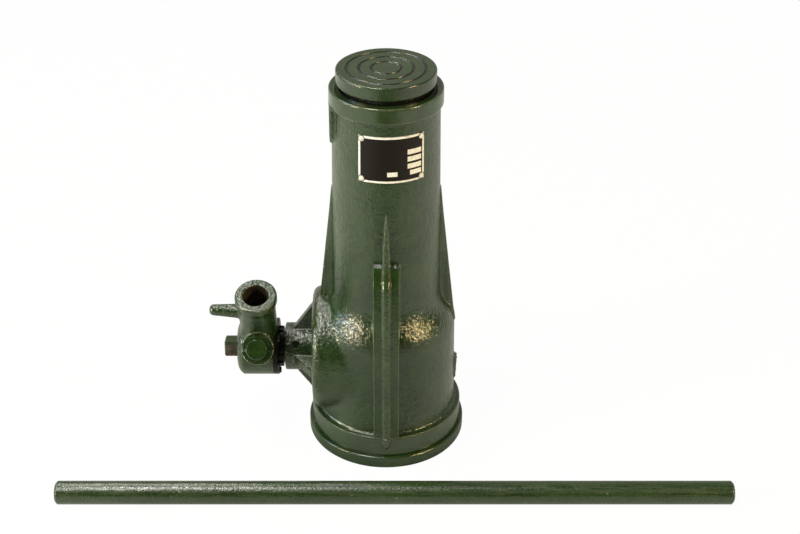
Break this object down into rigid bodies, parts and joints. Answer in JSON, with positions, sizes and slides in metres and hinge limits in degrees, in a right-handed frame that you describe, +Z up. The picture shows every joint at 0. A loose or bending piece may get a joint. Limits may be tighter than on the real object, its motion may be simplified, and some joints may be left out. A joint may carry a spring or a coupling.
{
  "type": "screw jack",
  "caption": "Bottle-shaped mechanical screw jack: bevel gear drive, reversible ratchet head with a lever socket, grooved swivel saddle on a keyed ram, bare name plate and a loose handle bar.",
  "frame": {"origin": "centre of the underside of the base plate, on the axis of the lifting screw", "axes": "+Z up along the lifting screw, -X along the drive shaft to the ratchet head, -Y to the front strip and the loose bar"},
  "size_m": [0.4598, 0.1551, 0.28],
  "materials": {
    "green_enamel": "gloss olive green enamel over sand cast iron",
    "steel": "oiled steel",
    "bronze": "machined bronze",
    "spring_steel": "hardened spring steel",
    "black_plate": "black plate with a white border, no words",
    "rivet_steel": "bright rivets"
  },
  "bodies": {
    "housing": {"housing": "green_enamel", "base_plate": "green_enamel", "base_screws": "steel", "tail_bush": "bronze", "bearing_race_lower": "steel", "shaft_bush": "bronze", "bush_screw": "steel", "guide_screw": "steel", "name_plate": "black_plate", "name_plate_rivets": "rivet_steel"},
    "ball_ring": {"bearing_balls": "steel", "ball_cage": "bronze"},
    "screw": {"lifting_screw": "steel", "gear_key": "steel", "tail_ring": "spring_steel", "bevel_gear": "steel", "bearing_race_upper": "steel"},
    "ram": {"lifting_sleeve": "steel", "lifting_nut": "bronze", "nut_screws": "steel", "saddle_ring": "spring_steel"},
    "saddle": {"saddle": "green_enamel"},
    "pinion": {"pinion_shaft": "steel", "bevel_pinion": "steel", "pinion_pin": "steel", "ratchet_wheel": "steel", "wheel_pin": "steel"},
    "rocker": {"rocker_arm": "green_enamel", "rocker_cover": "steel", "cover_screws": "steel", "pawl_spring": "spring_steel"},
    "plunger": {"pawl_plunger": "steel", "pawl_knob": "green_enamel", "knob_pin": "steel"},
    "bar": {"handle_bar": "green_enamel"}
  },
  "joints": [
    {"name": "screw_spin", "type": "hinge", "parent": "housing", "child": "screw", "pos_m": [0, 0, 0.1], "axis": [0, 0, -1], "range_deg": [0, 7714.2]},
    {"name": "pinion_turn", "type": "hinge", "parent": "housing", "child": "pinion", "pos_m": [-0.06, 0, 0.066], "axis": [1, 0, 0], "range_deg": [0, 20571.3]},
    {"name": "ball_roll", "type": "hinge", "parent": "housing", "child": "ball_ring", "pos_m": [0, 0, 0.0192], "axis": [0, 0, -1], "range_deg": [0, 3857.2]},
    {"name": "ram_lift", "type": "slide", "parent": "housing", "child": "ram", "axis": [0, 0, 1], "range_m": [0, 0.15]},
    {"name": "rocker_turn", "type": "hinge", "parent": "housing", "child": "rocker", "pos_m": [-0.089, 0, 0.066], "axis": [1, 0, 0], "continuous": true},
    {"name": "saddle_swivel", "type": "hinge", "parent": "ram", "child": "saddle", "pos_m": [0, 0, 0.271], "axis": [0, 0, 1], "continuous": true},
    {"name": "plunger_pull", "type": "slide", "parent": "rocker", "child": "plunger", "axis": [0, -0.8616, 0.5075], "range_m": [0, 0.003], "stiffness_N_per_m": 800, "springref_m": -0.004, "deforming": ["pawl_spring"]},
    {"name": "bar_lift", "type": "slide", "parent": "housing", "child": "bar", "axis": [0, 0, 1], "range_m": [0, 0.1]}
  ],
  "couplings": [
    {"joint": "pinion_turn", "follows": "screw_spin", "ratio": 2.6667},
    {"joint": "ball_roll", "follows": "screw_spin", "ratio": 0.5},
    {"joint": "ram_lift", "follows": "screw_spin", "m_per_rad": 0.0011141}
  ]
}
